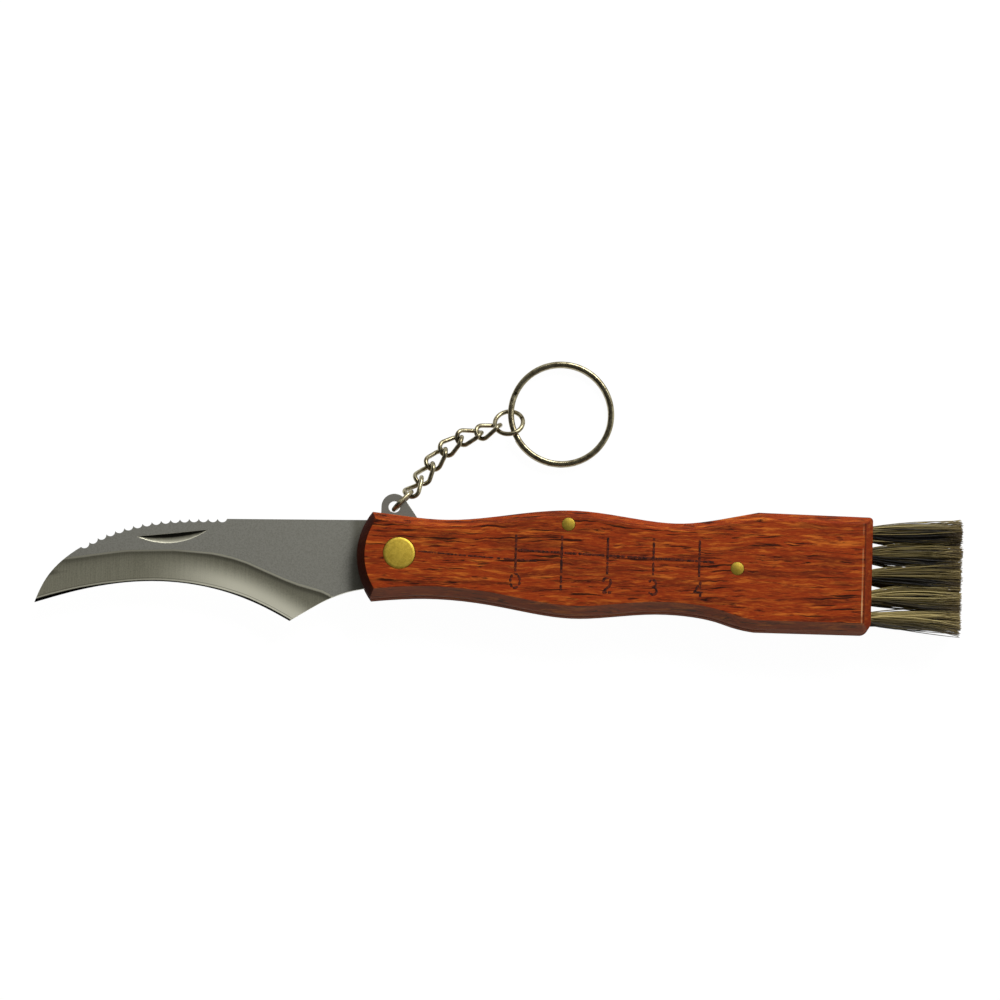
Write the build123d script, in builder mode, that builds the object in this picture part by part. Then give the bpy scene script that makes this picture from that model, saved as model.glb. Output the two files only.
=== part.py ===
from build123d import *
import os
from math import acos, asin, atan2, cos, hypot, pi, radians, sin, sqrt, tan

# A folding mushroom knife, open and lying on its back scale.
# The pivot's axis is Z, at X = Y = 0. +X runs along the handle to the brush, +Y is the back of the
# knife, where its spring lies, and Z = 0 is the table. All sizes are in millimetres.

# Handle
scale_thickness = 6.35
slot_width = 1.8
handle_front = 9.2
front_corner = 6.0
front_top = 9.0
front_bottom = 9.7
block_length = 22.7
block_top = 11.3
block_top_end = 10.95
block_bottom = 14.05
belly_corner = 2.0
top_corner = 0.9
bevel = 1.7
tip_clearance = 1.0

# Blade
blade_thickness = 1.4
blade_reach = 79.4
tip_drop = 12.5
heel_reach = 23.55
heel_drop = 14.95
root_reach = 8.3
root_drop = 7.6
spine_height = 7.7
tooth_start = 37.5
tooth_start_height = 7.0
tooth_count = 16
tooth_pitch = 2.06
tooth_depth = 0.75
edge_thickness = 0.24
hollow_depth = 0.07
nick_length = 15.65
nick_height = 2.06
nick_depth = 0.5
nick_angle = 7.0
tang_radius = 5.5
closed_turn = 162.0

# Pivot and pins
pivot_radius = 2.0
head_radius = 3.53
head_thickness = 1.3
head_rise = 0.15
washer_thickness = 0.15
washer_radius = 4.6
pin_radius = 1.45
pin_fit = 0.02
running_fit = 0.05

# Backspring and its eye
spring_gap = 0.1
heel_gap = 0.35
stop_gap = 0.15
nose_reach = 4.25
eye_radius = 2.85
eye_hole = 1.3
eye_height = 10.75
tail_height = 3.1
tail_gap = 0.2

# Brush
tuft_columns = 5
brush_margin = 1.78
row_pitch = 5.8
tuft_radius = 1.4
tuft_fit = 0.05
tuft_depth = 7.0
bristle_length = 20.0
bristle_width = 0.46
bristle_tip_width = 0.26
bristle_root = 0.6
bristle_sides = 3
bristle_turn = 25.0
strands_per_tuft = 24

# Chain and rings
wire = 1.0
wire_sides = 8
link_length = 6.6
link_width = 4.5
link_gap = 0.15
link_twist = -45.0
bend_steps = 6
eye_side = 0.1
eye_drop = 0.56
eye_lift = 0.49
jump_diameter = 7.2
jump_seam = 4.0
jump_steps = 18
ring_diameter = 23.4
ring_wire_width = 1.25
ring_wire_height = 1.0
ring_wire_gap = 0.05
ring_near_lift = 1.22
ring_heading = 11.1
ring_offset = 0.55

# Each link's heading, how far it dips from one end to the other, and its roll, in degrees
link_headings = (47, 56, 59, 51, 39, 17, 23)
link_dips = (13, 28, 22, 7, -1, -1, 0)
link_rolls = (89, -58, -36, -32, -30, -35, -47)
jump_turn = (19, 4, -31)

# Where the split ring's wire climbs from its lower turn to its upper one, in degrees
climb_start = 156
climb_end = 212
climb_steps = 8

# One overrun serves every cut
overrun = 2.0

# Sizes that follow from those above
thickness = 2 * scale_thickness + slot_width
middle = thickness / 2
slot_floor = scale_thickness
slot_end = blade_reach + tip_clearance
handle_rear = slot_end + block_length
spring_under = tang_radius + spring_gap
tuft_pitch = (block_top_end + block_bottom - 2 * brush_margin - 2 * tuft_radius) / (tuft_columns - 1)
brush_middle = (block_top_end - block_bottom) / 2

# The outline's shares: along the handle from the pivot, and of the block's height
top_shares = ((0.107, 0.686), (0.373, 0.934), (0.582, 0.743), (0.757, 1.0))
bottom_shares = (
    (0.063, 0.623),
    (0.213, 0.712),
    (0.369, 0.865),
    (0.548, 0.762),
    (0.679, 0.861),
    (0.757, 1.0),
)
top_slopes = ((1, -0.1), (1, 0.2))
bottom_slopes = ((1, 0.12), (1, -0.12))
mid_pin_shares = (0.356, 0.651)
rear_pin_shares = (0.715, -0.110)

# The blade's shares: along the blade from the pivot, and of the heel's drop
spine_shares = ((0.620, 0.435), (0.739, 0.318), (0.856, 0.058), (0.956, -0.375))
edge_shares = ((0.882, -0.642), (0.680, -0.475), (0.479, -0.595), (0.378, -0.783))
back_shares = ((0.257, -0.866), (0.195, -0.672), (0.145, -0.562))
spine_slopes = ((-1, -0.03), (-0.35, -1))
edge_slopes = ((1, 0.33), (1, -0.55))
back_slopes = ((1, 0.66), (1, 0.18))
nick_shares = (-0.626, 0.228)
first_tooth_share = 0.7

# The grind: along the blade, then the height of the ground face's upper border and of its edge
grind_shares = (
    (1.035, -0.340, -0.905),
    (0.904, -0.157, -0.675),
    (0.798, -0.064, -0.549),
    (0.696, -0.008, -0.478),
    (0.598, 0.000, -0.488),
    (0.499, -0.042, -0.569),
    (0.390, -0.207, -0.757),
    (0.265, -0.461, -1.080),
    (0.170, -0.680, -1.330),
)

# The backspring's shares: of the pin's radius, of its own tail's height and of its nose's reach
boss_share = 1.9
boss_fall_share = 0.33
boss_half_share = 2.0
tail_slant_share = 2.4
hollow_front_share = 2.2
crest_half_share = 0.5
eye_flank_angle = 44.0
eye_flank_share = 1.35

# The brush's shares: how far a tuft opens along its row and across it, how much wider the row is
# at its tips, and how much shorter the shortest strand is
open_shares = (1.73, 1.92)
row_spread_share = 1.05
trim_share = 0.07

mid_pin_place = (mid_pin_shares[0] * handle_rear, mid_pin_shares[1] * block_top)
rear_pin_place = (rear_pin_shares[0] * handle_rear, rear_pin_shares[1] * block_top)


def handle_outline():
    # the closed wire of both scales: front arc, waisted top and belly, straight block
    top = [(x * handle_rear, y * block_top) for x, y in top_shares]
    belly = [(x * handle_rear, -y * block_bottom) for x, y in bottom_shares]
    with BuildLine() as outline:
        Spline((-front_corner, front_top), *top, tangents=top_slopes)
        Polyline(top[-1], (handle_rear, block_top_end), (handle_rear, -block_bottom), belly[-1])
        Spline((-front_corner, -front_bottom), *belly, tangents=bottom_slopes)
        ThreePointArc(
            (-front_corner, -front_bottom),
            (-handle_front, (front_top - front_bottom) / 2),
            (-front_corner, front_top),
        )
    return outline.line


outline = handle_outline()


def tuft_places(level):
    # the centres of one row of tufts on the handle's end
    half = (tuft_columns - 1) / 2
    heights = [brush_middle + (half - column) * tuft_pitch for column in range(tuft_columns)]
    return [(handle_rear, height, level) for height in heights]


front_row = middle + row_pitch / 2
back_row = middle - row_pitch / 2


def cut_top_corner(base, height):
    # rounds the block's top rear corner, from the two points where the arc meets its sides
    corner = Vector(handle_rear, block_top_end)
    along_top = Vector(top_shares[-1][0] * handle_rear - handle_rear, block_top - block_top_end).normalized()
    along_end = Vector(0, -1)
    half_angle = radians(along_top.get_angle(along_end)) / 2
    reach = top_corner / tan(half_angle)
    inwards = (along_top + along_end).normalized()
    top_point = corner + along_top * reach
    end_point = corner + along_end * reach
    arc_middle = corner + inwards * (top_corner / sin(half_angle) - top_corner)
    with BuildSketch(Plane.XY.offset(base)) as waste:
        with BuildLine():
            ThreePointArc(top_point, arc_middle, end_point)
            Polyline(end_point, corner - inwards * overrun, top_point)
        make_face()
    extrude(waste.sketch, amount=height, mode=Mode.SUBTRACT)


def make_scale(base, outer_sign, row_level):
    # one wooden half: base is its inner face's level, outer_sign the way its outer face looks
    with BuildPart() as scale:
        with BuildSketch(Plane.XY.offset(base)):
            with BuildLine():
                add(outline)
            make_face()
        extrude(amount=outer_sign * scale_thickness)
        low_corner = scale.edges().filter_by(Axis.Z).sort_by(Axis.X)[-2:].sort_by(Axis.Y)[0]
        fillet(low_corner, belly_corner)
        outer_face = scale.faces().sort_by(Axis.Z)[-1 if outer_sign > 0 else 0]
        chamfer(outer_face.edges(), bevel)
        cut_top_corner(base, outer_sign * scale_thickness)
        with Locations((0, 0, base + outer_sign * scale_thickness / 2)):
            Cylinder(pivot_radius + pin_fit, scale_thickness, mode=Mode.SUBTRACT)
        with Locations((0, 0, base + outer_sign * (scale_thickness - head_thickness / 2))):
            Cylinder(head_radius + pin_fit, head_thickness, mode=Mode.SUBTRACT)
        for place in (mid_pin_place, rear_pin_place):
            with Locations((*place, base + outer_sign * scale_thickness / 2)):
                Cylinder(pin_radius + pin_fit, scale_thickness, mode=Mode.SUBTRACT)
        bores = [Plane(origin=place, z_dir=(-1, 0, 0)) for place in tuft_places(row_level)]
        with BuildSketch(*bores):
            Circle(tuft_radius + tuft_fit)
        extrude(amount=tuft_depth, mode=Mode.SUBTRACT)
    return scale.part


def make_spacer():
    # fills the slot from the blade's tip to the handle's end
    with BuildPart() as spacer:
        with BuildSketch(Plane.XY.offset(slot_floor)):
            with BuildLine():
                add(outline)
            make_face()
            with Locations((slot_end, 0)):
                Rectangle(
                    2 * block_length,
                    4 * block_bottom,
                    align=(Align.MIN, Align.CENTER),
                    mode=Mode.INTERSECT,
                )
        extrude(amount=slot_width)
        low_corner = spacer.edges().filter_by(Axis.Z).sort_by(Axis.X)[-2:].sort_by(Axis.Y)[0]
        fillet(low_corner, belly_corner)
        cut_top_corner(slot_floor, slot_width)
    return spacer.part


def make_backspring():
    # flush with the wood along its top, hollowed below for the closed blade, with an eye on its nose
    heel = Vector(-heel_reach, -heel_drop).rotate(Axis.Z, closed_turn)
    crest = heel.Y + heel_gap
    pin_x, pin_y = mid_pin_place
    boss = pin_y - boss_share * pin_radius
    tail_foot = rear_pin_place[1] - tail_height
    tail_front = rear_pin_place[0] - tail_slant_share * tail_height
    tail_end = slot_end - tail_gap
    eye = (-nose_reach + eye_radius, eye_height)
    flank_angle = radians(eye_flank_angle)
    flank_top = (eye[0] + eye_radius * cos(flank_angle), eye[1] + eye_radius * sin(flank_angle))
    flank_fall = eye_height - block_top * top_shares[0][1]
    flank_foot = (flank_top[0] + flank_fall * tan(flank_angle), flank_top[1] - flank_fall * eye_flank_share)
    with BuildPart() as spring:
        with BuildSketch(Plane.XY.offset(slot_floor)) as profile:
            with BuildLine():
                add(outline)
            make_face()
            with BuildLine():
                Polyline(
                    (-nose_reach, 2 * block_top),
                    (-nose_reach, spring_under),
                    (heel.X - hollow_front_share * nose_reach, spring_under),
                    (heel.X - nose_reach, crest - spring_gap),
                    (heel.X - crest_half_share * nose_reach, crest),
                    (heel.X + crest_half_share * nose_reach, crest),
                    (pin_x - boss_half_share * pin_radius, boss),
                    (pin_x + boss_half_share * pin_radius, boss - boss_fall_share * pin_radius),
                    (tail_front, tail_foot),
                    (tail_end, tail_foot),
                    (tail_end, 2 * block_top),
                    close=True,
                )
            make_face(mode=Mode.INTERSECT)
            with Locations(eye):
                Circle(eye_radius)
            with BuildLine():
                Polyline(
                    flank_top,
                    flank_foot,
                    (nose_reach, spring_under + spring_gap),
                    (-nose_reach, spring_under + spring_gap),
                    (-nose_reach, eye_height),
                    close=True,
                )
            make_face()
        extrude(amount=slot_width)
        with Locations((*eye, middle)):
            Cylinder(eye_hole, slot_width, mode=Mode.SUBTRACT)
        for place in (mid_pin_place, rear_pin_place):
            with Locations((*place, middle)):
                Cylinder(pin_radius + pin_fit, slot_width, mode=Mode.SUBTRACT)
    return spring.part


def make_blade():
    # hawkbill blade in one piece with its tang
    heel = (-heel_reach, -heel_drop)
    tip = (-blade_reach, -tip_drop)
    root = (-root_reach, -root_drop)
    shoulder = -nose_reach - stop_gap
    spine = [(-x * blade_reach, y * heel_drop) for x, y in spine_shares]
    edge = [(-x * blade_reach, y * heel_drop) for x, y in edge_shares]
    back = [(-x * blade_reach, y * heel_drop) for x, y in back_shares]
    # the straight run from the root meets the tang's round end as a tangent
    root_angle = atan2(-root_drop, -root_reach)
    meet_angle = root_angle + acos(tang_radius / hypot(root_reach, root_drop))
    meet = (tang_radius * cos(meet_angle), tang_radius * sin(meet_angle))
    turn_angle = (meet_angle + pi / 2) / 2
    turn = (tang_radius * cos(turn_angle), tang_radius * sin(turn_angle))
    half = blade_thickness / 2
    with BuildPart() as blade:
        with BuildSketch(Plane.XY.offset(middle - half)):
            with BuildLine():
                Line((shoulder, spine_height), (-tooth_start, tooth_start_height))
                toothed = Spline((-tooth_start, tooth_start_height), *spine, tip, tangents=spine_slopes)
                Spline(tip, *edge, heel, tangents=edge_slopes)
                Spline(heel, *back, root, tangents=back_slopes)
                Line(root, meet)
                ThreePointArc(meet, turn, (0, tang_radius))
                Polyline((0, tang_radius), (shoulder, tang_radius), (shoulder, spine_height))
            make_face()
        extrude(amount=blade_thickness)
        # scaling teeth: round valleys side by side leave points on the spine's own line
        valley_radius = (tooth_pitch**2 / 4 + tooth_depth**2) / (2 * tooth_depth)
        for tooth in range(tooth_count):
            along = (tooth + first_tooth_share) * tooth_pitch
            point = toothed.position_at(along, position_mode=PositionMode.LENGTH)
            way = toothed.tangent_at(along, position_mode=PositionMode.LENGTH)
            outwards = Vector(way.Y, -way.X)
            if outwards.Y < 0:
                outwards = -outwards
            centre = point + outwards * (valley_radius - tooth_depth)
            with Locations((centre.X, centre.Y, middle)):
                Cylinder(valley_radius, blade_thickness + overrun, mode=Mode.SUBTRACT)
        # hollow grind on both faces
        for side in (1, -1):
            lip = side * edge_thickness / 2
            face = side * half
            beyond = side * (half + overrun)
            for x_share, border_share, edge_share in grind_shares:
                border = border_share * heel_drop
                foot = edge_share * heel_drop
                along = Vector(-x_share * blade_reach, 0, middle)
                with BuildSketch(Plane(origin=along, x_dir=(0, 1, 0), z_dir=(1, 0, 0))):
                    with BuildLine():
                        ThreePointArc(
                            (border, face),
                            ((border + foot) / 2, (face + lip) / 2 - side * hollow_depth),
                            (foot, lip),
                        )
                        Polyline(
                            (foot, lip),
                            (foot - overrun, lip),
                            (foot - overrun, beyond),
                            (border, beyond),
                            (border, face),
                        )
                    make_face()
            loft(mode=Mode.SUBTRACT)
        # nail nick, as a tilted disc cutter leaves it
        lean = atan2(nick_depth, nick_height)
        nick_radius = (nick_length**2 / 4 + nick_depth**2) / (2 * nick_depth)
        down = Vector(0, -1).rotate(Axis.Z, nick_angle)
        axis = down * cos(lean) + Vector(0, 0, 1) * sin(lean)
        lift = Vector(0, 0, 1) * cos(lean) - down * sin(lean)
        nick_x, nick_y = nick_shares[0] * blade_reach, nick_shares[1] * heel_drop
        nick_middle = Vector(nick_x, nick_y, middle + half - nick_depth)
        with BuildSketch(Plane(origin=nick_middle + lift * nick_radius, z_dir=axis)):
            Circle(nick_radius)
        extrude(amount=nick_height + overrun, mode=Mode.SUBTRACT)
        with Locations((0, 0, middle)):
            Cylinder(pivot_radius + running_fit, blade_thickness, mode=Mode.SUBTRACT)
    return blade.part


def make_pivot_rivet():
    # brass: a round shank peened over into a flush head behind and a slightly proud one in front
    top = thickness + head_rise
    with BuildPart() as rivet:
        with BuildSketch(Plane.XZ):
            with BuildLine():
                Polyline(
                    (0, 0),
                    (head_radius, 0),
                    (head_radius, head_thickness),
                    (pivot_radius, head_thickness),
                    (pivot_radius, thickness - head_thickness),
                    (head_radius, thickness - head_thickness),
                    (head_radius, thickness),
                    (head_radius - head_rise, top),
                    (0, top),
                    close=True,
                )
            make_face()
        revolve(axis=Axis.Z)
    return rivet.part


def make_washer(base):
    # thin brass washer between the tang and the wood
    with BuildPart() as washer:
        with BuildSketch(Plane.XY.offset(base)):
            Circle(washer_radius)
            Circle(pivot_radius + running_fit, mode=Mode.SUBTRACT)
        extrude(amount=washer_thickness)
    return washer.part


def make_pin(place):
    # brass pin, filed flush with both scales
    with BuildPart() as pin:
        with BuildSketch():
            with Locations(place):
                Circle(pin_radius)
        extrude(amount=thickness)
    return pin.part


def make_strand(foot, tip, turn):
    # one bristle: a tapered bar with flat sides, from its foot to its tip
    rings = []
    for centre, radius in ((foot, bristle_width / 2), (tip, bristle_tip_width / 2)):
        angles = [turn + 2 * pi * side / bristle_sides for side in range(bristle_sides)]
        rings.append([centre + Vector(0, cos(angle), sin(angle)) * radius for angle in angles])
    low, high = rings
    faces = [Face(Wire.make_polygon(ring)) for ring in rings]
    for side in range(bristle_sides):
        after = (side + 1) % bristle_sides
        faces.append(Face(Wire.make_polygon([low[side], low[after], high[after], high[side]])))
    return Solid(Shell(faces))


def make_tuft(place, column, row):
    # a packed root in its bore, and strands that fan out from it without crossing
    x, y, z = place
    tip_y = brush_middle + (y - brush_middle) * row_spread_share
    strands = []
    for number in range(strands_per_tuft):
        # sunflower spacing keeps the strands apart
        reach = sqrt((number + 0.5) / strands_per_tuft) * (tuft_radius - bristle_width / 2)
        angle = number * pi * (3 - sqrt(5))
        root_y = reach * cos(angle)
        root_z = reach * sin(angle)
        uneven = (number * sqrt(2) + (column + row) / tuft_columns) % 1
        length = bristle_length * (1 - trim_share * uneven)
        foot = Vector(x - bristle_root, y + root_y, z + root_z)
        tip = Vector(x + length, tip_y + root_y * open_shares[0], z + root_z * open_shares[1])
        strands.append(make_strand(foot, tip, radians(number * bristle_turn)))
    with BuildPart() as tuft:
        with BuildSketch(Plane(origin=place, z_dir=(-1, 0, 0))):
            Circle(tuft_radius)
        extrude(amount=tuft_depth)
        add(strands)
    return tuft.part


def link_plane(centre, heading, dip, roll):
    # a local frame with X along the link, turned by its roll, dip and heading
    along = Vector(1, 0, 0).rotate(Axis.Y, dip).rotate(Axis.Z, heading)
    up = Vector(0, 0, 1).rotate(Axis.X, roll).rotate(Axis.Y, dip).rotate(Axis.Z, heading)
    return Plane(origin=centre, x_dir=along, z_dir=up)


def loft_wire(frame, stations):
    # wire through (point, tangent, side) stations of a local frame
    sections = []
    for point, tangent, side in stations:
        local = Plane(origin=point, x_dir=side, z_dir=tangent)
        with BuildSketch(Plane(frame.location * local.location)) as section:
            RegularPolygon(wire / 2, wire_sides)
        sections.append(section.sketch.face())
    loft(sections, ruled=True)


def link_stations(twist):
    # once round a link from its right end's apex, as (point, tangent, side)
    bend = (link_width - wire) / 2
    straight = (link_length - link_width) / 2
    half = (link_length - wire) / 2
    points = []
    sides = []
    for end in (1, -1):
        for step in range(bend_steps + 1):
            angle = pi * (step / bend_steps - end / 2)
            x = end * straight + bend * cos(angle)
            y = bend * sin(angle)
            lean = radians(twist) * x / half
            points.append(Vector(x, y * cos(lean), y * sin(lean)))
            sides.append(Vector(0, -sin(lean), cos(lean)))
    count = len(points)
    stations = []
    for number, point in enumerate(points):
        arriving = (point - points[number - 1]).normalized()
        leaving = (points[(number + 1) % count] - point).normalized()
        stations.append((point, arriving + leaving, sides[number]))
    apex = bend_steps // 2
    return stations[apex:] + stations[:apex + 1]


def make_link(frame, twist):
    # an oval of round wire whose two ends are turned apart, lofted in two halves
    stations = link_stations(twist)
    middle_station = len(stations) // 2
    with BuildPart() as link:
        loft_wire(frame, stations[:middle_station + 1])
        loft_wire(frame, stations[middle_station:])
    return link.part


def chain_frames():
    # each link hangs from the last one's end, a wire and a gap back along their common direction
    half = (link_length - wire) / 2
    frames = []
    end = None
    last = None
    for heading, dip, roll in zip(link_headings, link_dips, link_rolls):
        along = Vector(1, 0, 0).rotate(Axis.Y, dip).rotate(Axis.Z, heading)
        if end is None:
            # off the eye's middle, where the first link's end touches the hole's side
            start = Vector(
                -nose_reach + eye_radius - eye_side,
                eye_height - eye_drop,
                middle + eye_lift,
            )
        else:
            start = end - (along + last).normalized() * (wire + link_gap)
        frames.append(link_plane(start + along * half, heading, dip, roll))
        end = start + along * (2 * half)
        last = along
    heading, dip, roll = jump_turn
    along = Vector(1, 0, 0).rotate(Axis.Y, dip).rotate(Axis.Z, heading)
    start = end - (along + last).normalized() * (wire + link_gap)
    frames.append(link_plane(start + along * (jump_diameter - wire) / 2, heading, dip, roll))
    return frames


def make_jump_ring(frame):
    # round wire bent to a circle, its butt seam away from what it joins
    radius = (jump_diameter - wire) / 2
    stations = []
    for step in range(jump_steps + 1):
        angle = radians(jump_seam + (360 - jump_seam) * step / jump_steps)
        outwards = Vector(cos(angle), sin(angle))
        stations.append((outwards * radius, Vector(-sin(angle), cos(angle)), outwards))
    with BuildPart() as ring:
        loft_wire(frame, stations)
    return ring.part


def make_split_ring(jump_centre):
    # two flat turns of wire and the climb between them, the near side resting on the jump ring
    outer = ring_diameter / 2
    inner = outer - ring_wire_width
    layer = ring_wire_height + ring_wire_gap
    # the ring's wire passes through the jump ring's middle
    heading = radians(ring_heading + 180)
    tilt = asin(ring_near_lift / ring_diameter)
    away = (inner + outer) / 2 + ring_offset
    near = Vector(cos(heading) * cos(tilt), sin(heading) * cos(tilt), sin(tilt))
    side = Vector(-sin(heading), cos(heading), 0)
    centre = Vector(
        jump_centre.X - cos(heading) * away,
        jump_centre.Y - sin(heading) * away,
        ring_near_lift / 2,
    )
    up = near.cross(side)
    east = near * cos(-heading) + side * sin(-heading)
    frame = Plane(origin=centre, x_dir=east, z_dir=up)

    def section(angle, level):
        return Plane(frame.location * Location((0, 0, level), (0, 0, angle)) * Plane.XZ.location)

    with BuildPart() as ring:
        for level in (0, layer):
            with BuildSketch(section(climb_end - 360, level)):
                with Locations((inner, 0)):
                    Rectangle(ring_wire_width, ring_wire_height, align=(Align.MIN, Align.MIN))
            revolve(axis=Axis(frame.origin, frame.z_dir), revolution_arc=360 - (climb_end - climb_start))
        for step in range(climb_steps + 1):
            share = step / climb_steps
            angle = climb_start + share * (climb_end - climb_start)
            with BuildSketch(section(angle, share * layer)):
                with Locations((inner, 0)):
                    Rectangle(ring_wire_width, ring_wire_height, align=(Align.MIN, Align.MIN))
        loft(ruled=True)
    return ring.part


pieces = {
    "front_scale": make_scale(slot_floor + slot_width, 1, front_row),
    "back_scale": make_scale(slot_floor, -1, back_row),
    "brush_spacer": make_spacer(),
    "backspring": make_backspring(),
    "blade": make_blade(),
    "pivot_rivet": make_pivot_rivet(),
    "washer_back": make_washer(slot_floor),
    "washer_front": make_washer(slot_floor + slot_width - washer_thickness),
    "mid_pin": make_pin(mid_pin_place),
    "rear_pin": make_pin(rear_pin_place),
}
for row, (row_name, level) in enumerate((("front", front_row), ("back", back_row))):
    for column, place in enumerate(tuft_places(level)):
        pieces[f"tuft_{row_name}_{column + 1}"] = make_tuft(place, column, row)
frames = chain_frames()
for number, frame in enumerate(frames[:-1]):
    pieces[f"chain_link_{number + 1}"] = make_link(frame, 0 if number == 0 else link_twist)
pieces["jump_ring"] = make_jump_ring(frames[-1])
pieces["split_ring"] = make_split_ring(frames[-1].origin)

os.makedirs("parts", exist_ok=True)
for name, piece in pieces.items():
    piece.label = name
    export_step(piece, f"parts/{name}.step")
    print(name, round(piece.volume, 2))
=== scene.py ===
import math

import bmesh
import bpy
from mathutils import Matrix, Vector


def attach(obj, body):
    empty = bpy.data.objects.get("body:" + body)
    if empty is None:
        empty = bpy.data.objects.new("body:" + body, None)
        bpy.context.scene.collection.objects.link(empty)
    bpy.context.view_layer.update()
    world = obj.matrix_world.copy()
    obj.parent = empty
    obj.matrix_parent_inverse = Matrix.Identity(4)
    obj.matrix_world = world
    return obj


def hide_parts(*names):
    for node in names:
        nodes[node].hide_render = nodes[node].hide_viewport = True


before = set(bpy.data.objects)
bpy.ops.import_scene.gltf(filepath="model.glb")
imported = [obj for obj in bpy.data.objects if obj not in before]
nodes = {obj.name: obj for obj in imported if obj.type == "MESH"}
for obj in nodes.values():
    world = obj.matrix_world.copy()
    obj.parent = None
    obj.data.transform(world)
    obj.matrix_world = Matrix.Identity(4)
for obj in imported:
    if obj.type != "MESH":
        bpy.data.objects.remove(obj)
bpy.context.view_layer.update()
mm = 0.001
print("frame loaded:", len(nodes), "nodes")


# Node trees as expressions

class Wire:
    # an output socket that takes part in sums and products
    def __init__(self, graph, socket):
        self.graph = graph
        self.socket = socket

    def maths(self, operation, *values):
        return self.graph.node("ShaderNodeMath", {"operation": operation}, dict(enumerate(values)))

    def __add__(self, other):
        return self.maths("ADD", self, other)

    def __radd__(self, other):
        return self.maths("ADD", other, self)

    def __sub__(self, other):
        return self.maths("SUBTRACT", self, other)

    def __rsub__(self, other):
        return self.maths("SUBTRACT", other, self)

    def __mul__(self, other):
        return self.maths("MULTIPLY", self, other)

    def __rmul__(self, other):
        return self.maths("MULTIPLY", other, self)

    def __truediv__(self, other):
        return self.maths("DIVIDE", self, other)

    def __rtruediv__(self, other):
        return self.maths("DIVIDE", other, self)

    def __mod__(self, other):
        return self.maths("FLOORED_MODULO", self, other)

    def __abs__(self):
        return self.maths("ABSOLUTE", self)

    def floor(self):
        return self.maths("FLOOR", self)

    def sin(self):
        return self.maths("SINE", self)

    def cos(self):
        return self.maths("COSINE", self)

    def root(self):
        return self.maths("SQRT", self)

    def sign(self):
        return self.maths("SIGN", self)

    def most(self, other):
        return self.maths("MAXIMUM", self, other)

    def rise(self, low, high, start=0):
        # 0 at low, 1 at high and beyond, smooth between, both counted from the start
        value = self - start if start else self
        sockets = {"Value": value, "From Min": low, "From Max": high}
        return self.graph.node("ShaderNodeMapRange", {"interpolation_type": "SMOOTHSTEP"}, sockets)

    def fall(self, low, high, start=0):
        return 1 - self.rise(low, high, start)


class Graph:
    # a node tree that one method fills
    def __init__(self, tree):
        self.tree = tree

    def node(self, kind, settings=None, sockets=None, output=0):
        made = self.tree.nodes.new(kind)
        for name, value in (settings or {}).items():
            setattr(made, name, value)
        for key, value in (sockets or {}).items():
            if isinstance(value, Wire):
                self.tree.links.new(value.socket, made.inputs[key])
            else:
                made.inputs[key].default_value = value
        return Wire(self, made.outputs[output]) if made.outputs else None

    def other(self, wire, output):
        # another output of the node that a wire comes from
        return Wire(self, wire.socket.node.outputs[output])

    def parts(self, vector):
        x = self.node("ShaderNodeSeparateXYZ", None, {"Vector": vector})
        return x, self.other(x, "Y"), self.other(x, "Z")

    def vector(self, x, y, z):
        return self.node("ShaderNodeCombineXYZ", None, {"X": x, "Y": y, "Z": z})


class Finish(Graph):
    # a material whose patterns are in millimetres of the part's own frame
    def __init__(self, name):
        self.material = bpy.data.materials.new(name)
        self.material.use_nodes = True
        self.material.node_tree.nodes.clear()
        super().__init__(self.material.node_tree)
        place = self.node("ShaderNodeTexCoord", output="Object")
        self.facing = self.parts(self.other(place, "Normal"))
        self.place = self.node("ShaderNodeMapping", None, {"Vector": place, "Scale": [1 / mm] * 3})
        self.x, self.y, self.z = self.parts(self.place)

    def noise(self, x, y, z, detail=2.0, roughness=0.5, place=None):
        # smooth noise with so many waves to a millimetre along each axis, 0 to 1
        scaled = self.node("ShaderNodeMapping", None, {"Vector": place or self.place, "Scale": (x, y, z)})
        sockets = {"Vector": scaled, "Scale": 1.0, "Detail": detail, "Roughness": roughness}
        return self.node("ShaderNodeTexNoise", None, sockets)

    def blend(self, factor, first, second):
        # a Mix node's colours are its inputs 6 and 7 and its output 2
        return self.node("ShaderNodeMix", {"data_type": "RGBA"}, {0: factor, 6: first, 7: second}, 2)

    def line(self, x, points, low, high):
        # the height at x of a smooth line through points in millimetres that lie between low and high
        start, end = points[0][0], points[-1][0]
        made = self.tree.nodes.new("ShaderNodeFloatCurve")
        knots = made.mapping.curves[0].points
        placed = [((at - start) / (end - start), (level - low) / (high - low)) for at, level in points]
        knots[0].location = placed[0]
        knots[1].location = placed[-1]
        for spot in placed[1:-1]:
            knots.new(*spot)
        made.mapping.update()
        self.tree.links.new(((x - start) / (end - start)).socket, made.inputs["Value"])
        return Wire(self, made.outputs[0]) * (high - low) + low

    def bump(self, height, strength, depth):
        sockets = {"Height": height, "Strength": strength, "Distance": depth * mm}
        return self.node("ShaderNodeBump", None, sockets)

    def close(self, sockets):
        surface = self.node("ShaderNodeBsdfPrincipled", None, sockets)
        self.node("ShaderNodeOutputMaterial", None, {"Surface": surface})
        return self.material


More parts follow.
